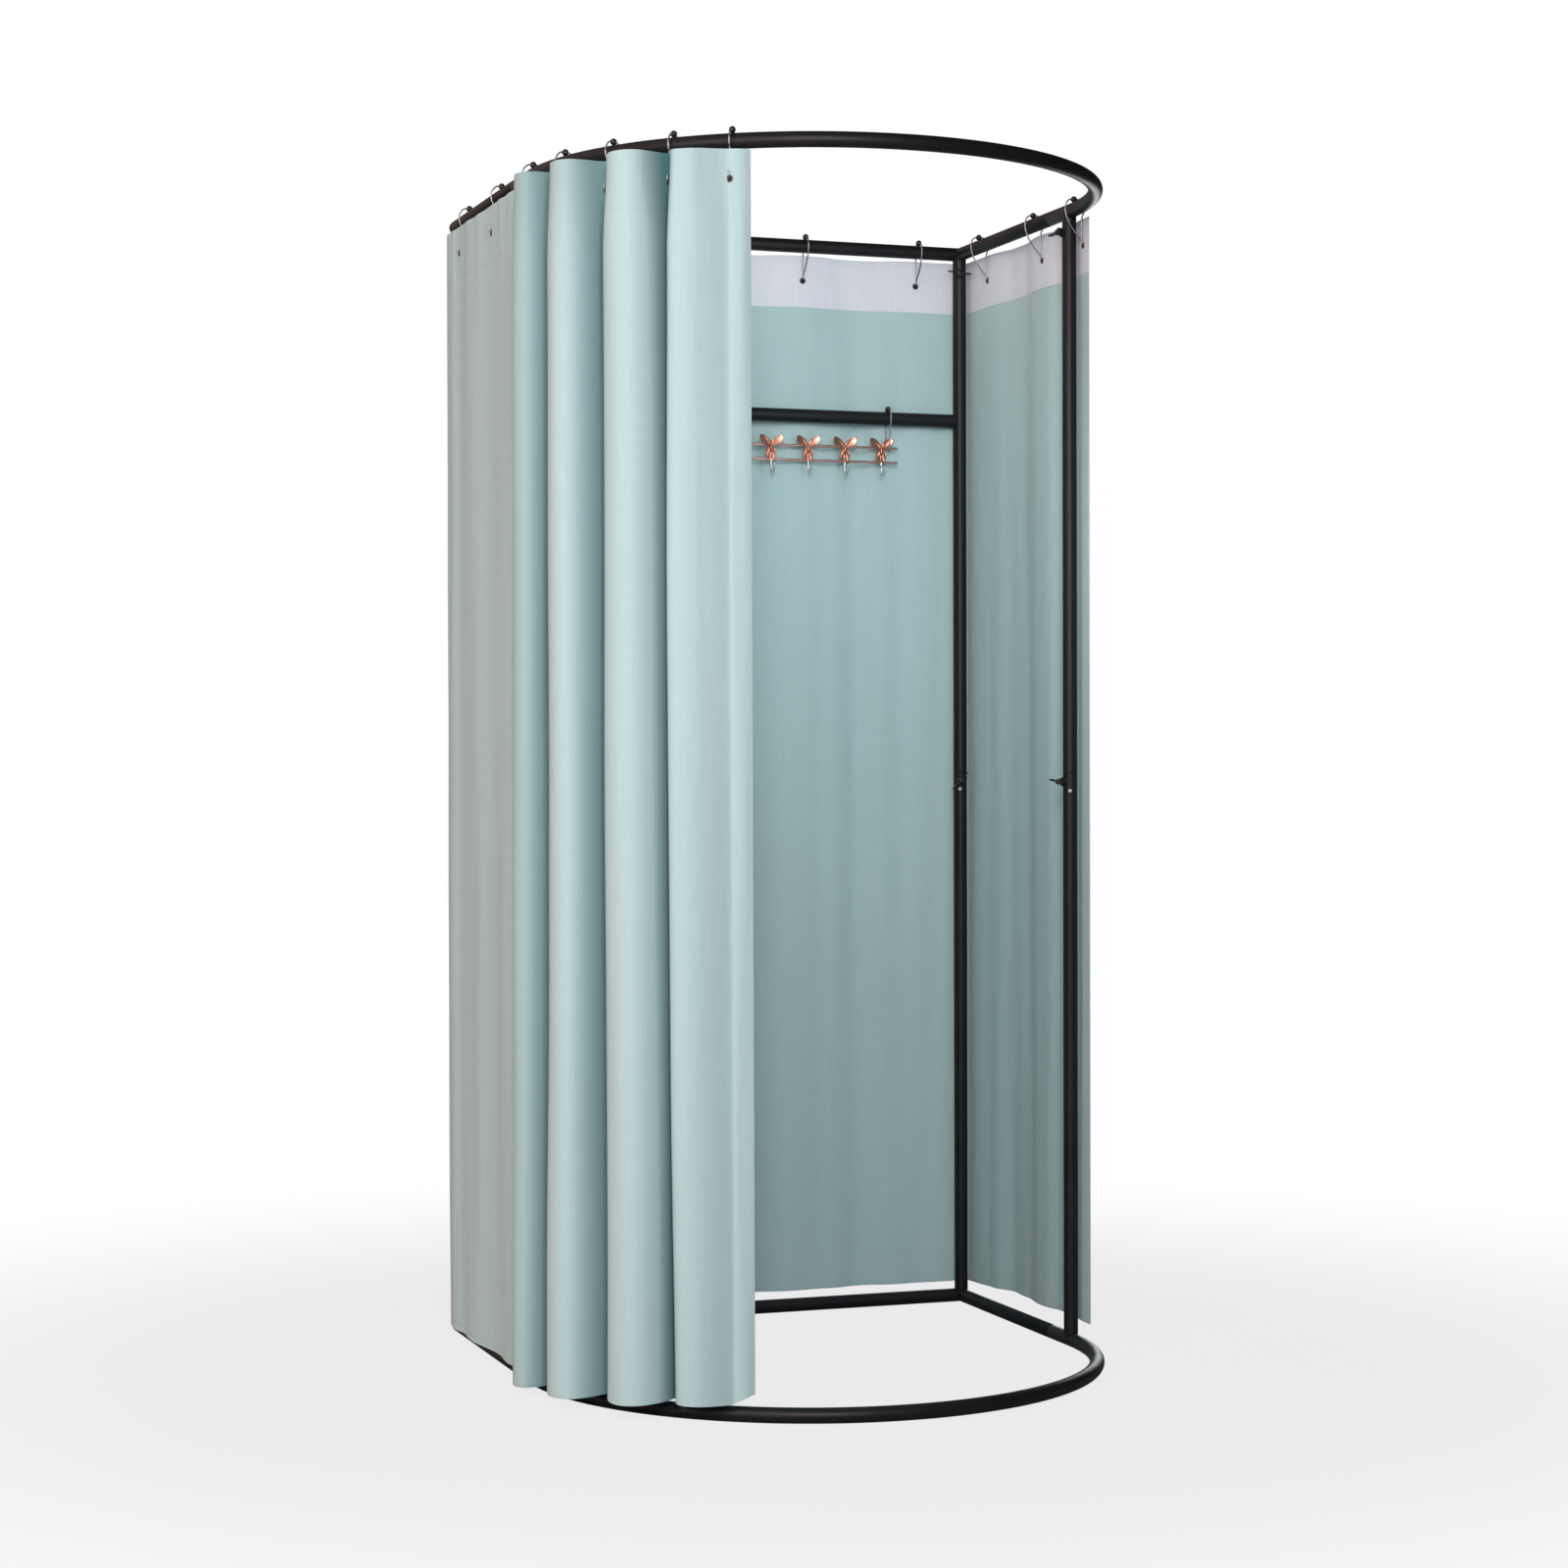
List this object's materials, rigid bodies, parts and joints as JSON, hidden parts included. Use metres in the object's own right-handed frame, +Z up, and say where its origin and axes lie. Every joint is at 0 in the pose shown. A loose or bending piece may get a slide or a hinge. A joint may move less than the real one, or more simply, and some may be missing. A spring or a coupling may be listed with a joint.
{
  "type": "portable fitting room",
  "caption": "Free-standing fitting room: a tube frame with a round front and a flat back, linen curtains on ring hooks that draw across the doorway, and a hook rack on a crossbar inside.",
  "frame": {"origin": "on the floor, under the middle of the whole", "axes": "+Z up, +Y towards the flat back, so the doorway faces -Y; +X to the right of someone who faces the doorway"},
  "size_m": [1.0664, 1.0322, 2.0113],
  "materials": {
    "black_tube": "satin black powder coat",
    "wing_bolt": "black coated, slightly rough",
    "hook_wire": "bright plated wire with a small ball",
    "rack_metal": "rose gold plated, satin",
    "linen": "plain-woven linen, pale blue-green"
  },
  "bodies": {
    "stand": {"top_front_arc": "black_tube", "bottom_front_arc": "black_tube", "top_rear_frame": "black_tube", "bottom_rear_frame": "black_tube", "front_left_lower_post": "black_tube", "front_left_upper_post": "black_tube", "front_right_lower_post": "black_tube", "front_right_upper_post": "black_tube", "back_left_lower_post": "black_tube", "back_left_upper_post": "black_tube", "back_right_lower_post": "black_tube", "back_right_upper_post": "black_tube", "crossbar": "black_tube", "left_curtain": "linen", "back_curtain": "linen", "right_curtain": "linen", "left_ring_hook_1": "hook_wire", "left_ring_hook_2": "hook_wire", "left_ring_hook_3": "hook_wire", "back_ring_hook_1": "hook_wire", "back_ring_hook_2": "hook_wire", "back_ring_hook_3": "hook_wire", "back_ring_hook_4": "hook_wire", "right_ring_hook_1": "hook_wire", "right_ring_hook_2": "hook_wire", "right_ring_hook_3": "hook_wire"},
    "front_left_mid_wing_bolt_body": {"front_left_mid_wing_bolt": "wing_bolt"},
    "front_left_top_wing_bolt_body": {"front_left_top_wing_bolt": "wing_bolt"},
    "front_right_mid_wing_bolt_body": {"front_right_mid_wing_bolt": "wing_bolt"},
    "front_right_top_wing_bolt_body": {"front_right_top_wing_bolt": "wing_bolt"},
    "back_left_mid_wing_bolt_body": {"back_left_mid_wing_bolt": "wing_bolt"},
    "back_left_top_wing_bolt_body": {"back_left_top_wing_bolt": "wing_bolt"},
    "back_right_mid_wing_bolt_body": {"back_right_mid_wing_bolt": "wing_bolt"},
    "back_right_top_wing_bolt_body": {"back_right_top_wing_bolt": "wing_bolt"},
    "door_length_1": {"door_fold_1": "linen", "door_ring_hook_1": "hook_wire"},
    "door_length_2": {"door_fold_2": "linen", "door_ring_hook_2": "hook_wire"},
    "door_length_3": {"door_fold_3": "linen", "door_ring_hook_3": "hook_wire"},
    "door_length_4": {"door_fold_4": "linen", "door_ring_hook_4": "hook_wire"},
    "rack_hangers": {"rack_hanger_left": "hook_wire", "rack_hanger_right": "hook_wire"},
    "hook_rack": {"rack_upper_bar": "rack_metal", "rack_lower_bar": "rack_metal", "rack_hook_1": "rack_metal", "rack_hook_2": "rack_metal", "rack_hook_3": "rack_metal", "rack_hook_4": "rack_metal", "rack_hook_5": "rack_metal", "rack_hook_6": "rack_metal"}
  },
  "joints": [
    {"name": "front_left_mid_bolt_turn", "type": "hinge", "parent": "stand", "child": "front_left_mid_wing_bolt_body", "pos_m": [-0.47438, -0.01651, 0.99], "axis": [1, 0, 0], "range_deg": [0, 450]},
    {"name": "front_left_top_bolt_turn", "type": "hinge", "parent": "stand", "child": "front_left_top_wing_bolt_body", "pos_m": [-0.47438, -0.01651, 1.95043], "axis": [1, 0, 0], "range_deg": [0, 450]},
    {"name": "front_right_mid_bolt_turn", "type": "hinge", "parent": "stand", "child": "front_right_mid_wing_bolt_body", "pos_m": [0.50062, -0.01651, 0.99], "axis": [-1, 0, 0], "range_deg": [0, 450]},
    {"name": "front_right_top_bolt_turn", "type": "hinge", "parent": "stand", "child": "front_right_top_wing_bolt_body", "pos_m": [0.50062, -0.01651, 1.95043], "axis": [-1, 0, 0], "range_deg": [0, 450]},
    {"name": "back_left_mid_bolt_turn", "type": "hinge", "parent": "stand", "child": "back_left_mid_wing_bolt_body", "pos_m": [-0.47438, 0.48349, 0.99], "axis": [0.3746, -0.9272, 0], "range_deg": [0, 450]},
    {"name": "back_left_top_bolt_turn", "type": "hinge", "parent": "stand", "child": "back_left_top_wing_bolt_body", "pos_m": [-0.47438, 0.48349, 1.95043], "axis": [0.3746, -0.9272, 0], "range_deg": [0, 450]},
    {"name": "back_right_mid_bolt_turn", "type": "hinge", "parent": "stand", "child": "back_right_mid_wing_bolt_body", "pos_m": [0.50062, 0.48349, 0.99], "axis": [-0.3746, -0.9272, 0], "range_deg": [0, 450]},
    {"name": "back_right_top_bolt_turn", "type": "hinge", "parent": "stand", "child": "back_right_top_wing_bolt_body", "pos_m": [0.50062, 0.48349, 1.95043], "axis": [-0.3746, -0.9272, 0], "range_deg": [0, 450]},
    {"name": "door_length_1_travel", "type": "hinge", "parent": "stand", "child": "door_length_1", "pos_m": [0.01312, -0.01651, 1.98793], "axis": [0, 0, 1], "range_deg": [0, 28]},
    {"name": "door_length_2_travel", "type": "hinge", "parent": "door_length_1", "child": "door_length_2", "pos_m": [0.01312, -0.01651, 1.98793], "axis": [0, 0, 1], "range_deg": [0, 28]},
    {"name": "door_length_3_travel", "type": "hinge", "parent": "door_length_2", "child": "door_length_3", "pos_m": [0.01312, -0.01651, 1.98793], "axis": [0, 0, 1], "range_deg": [0, 28]},
    {"name": "door_length_4_travel", "type": "hinge", "parent": "door_length_3", "child": "door_length_4", "pos_m": [0.01312, -0.01651, 1.98793], "axis": [0, 0, 1], "range_deg": [0, 28]},
    {"name": "rack_slide", "type": "slide", "parent": "stand", "child": "rack_hangers", "axis": [1, 0, 0], "range_m": [-0.38, 0.1]},
    {"name": "rack_swing", "type": "hinge", "parent": "rack_hangers", "child": "hook_rack", "pos_m": [0.15662, 0.48349, 1.61634], "axis": [-1, 0, 0], "range_deg": [0, 30]}
  ],
  "couplings": [
    {"joint": "door_length_2_travel", "follows": "door_length_1_travel", "ratio": 1},
    {"joint": "door_length_3_travel", "follows": "door_length_1_travel", "ratio": 1},
    {"joint": "door_length_4_travel", "follows": "door_length_1_travel", "ratio": 1}
  ]
}
